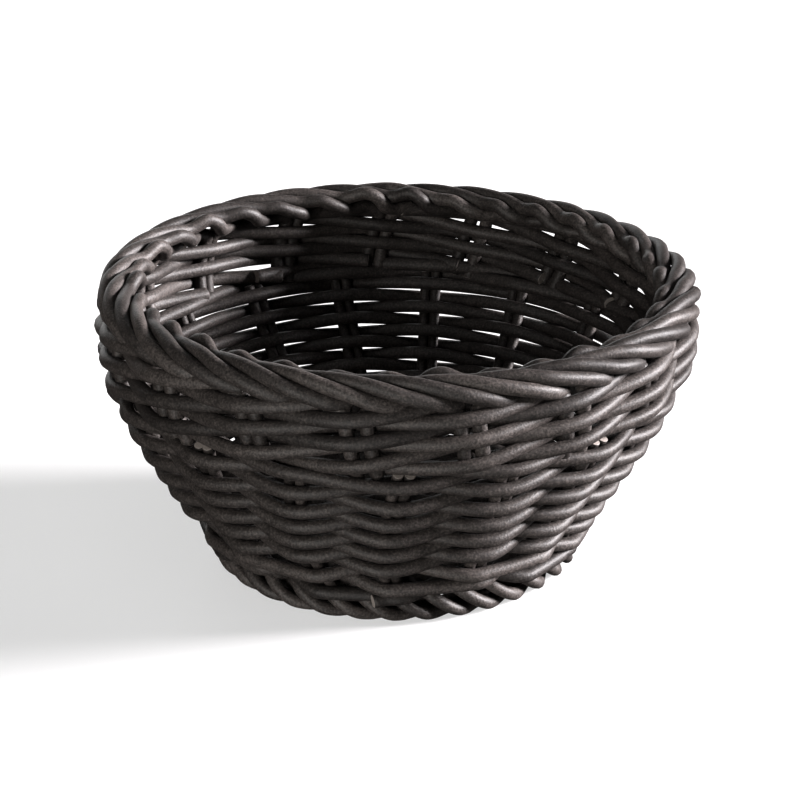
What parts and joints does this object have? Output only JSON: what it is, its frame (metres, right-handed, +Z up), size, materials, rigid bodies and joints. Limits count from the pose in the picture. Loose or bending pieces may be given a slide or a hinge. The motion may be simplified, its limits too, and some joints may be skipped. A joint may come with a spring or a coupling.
{
  "type": "woven fruit basket",
  "caption": "Round woven bowl basket of dark brown-grey plastic cane with a rolled rim, an open upper weave, a tight lower weave and a rope-like foot.",
  "frame": {"origin": "middle of the resting plane, under the centre of the foot", "axes": "+Z up through the mouth; the side seen at the front faces -Y"},
  "size_m": [0.2105, 0.2106, 0.1042],
  "materials": {
    "cane": "matte extruded plastic cane with a fine grain"
  },
  "bodies": {
    "root": {"base_sticks_under": "cane", "base_sticks_over": "cane", "odd_base_stick": "cane", "base_weaver_round_01": "cane", "base_weaver_round_02": "cane", "base_weaver_round_03": "cane", "base_weaver_round_04": "cane", "base_weaver_round_05": "cane", "base_weaver_round_06": "cane", "base_weaver_round_07": "cane", "base_weaver_round_08": "cane", "lower_stake_pairs": "cane", "lower_wale_strand": "cane", "middle_wale_strand": "cane", "upper_wale_strand": "cane", "lower_weaver_round_01": "cane", "lower_weaver_round_02": "cane", "lower_weaver_round_03": "cane", "lower_weaver_round_04": "cane", "lower_weaver_round_05": "cane", "lower_weaver_round_06": "cane", "lower_weaver_round_07": "cane", "lower_weaver_round_08": "cane", "lower_weaver_round_09": "cane", "lower_weaver_round_10": "cane", "lower_weaver_round_11": "cane", "lower_weaver_round_12": "cane", "upper_weaver_01": "cane", "upper_weaver_02": "cane", "upper_weaver_03": "cane", "upper_weaver_04": "cane", "upper_weaver_05": "cane", "upper_weaver_06": "cane", "upper_weaver_07": "cane", "upper_weaver_08": "cane", "upper_weaver_09": "cane", "upper_weaver_10": "cane", "upper_weaver_11": "cane", "upper_weaver_12": "cane", "upper_weaver_13": "cane", "upper_weaver_14": "cane", "upper_weaver_15": "cane", "upper_weaver_16": "cane", "upper_weaver_17": "cane", "upper_stakes_and_rim_border": "cane", "foot_border_strands": "cane"}
  },
  "joints": []
}
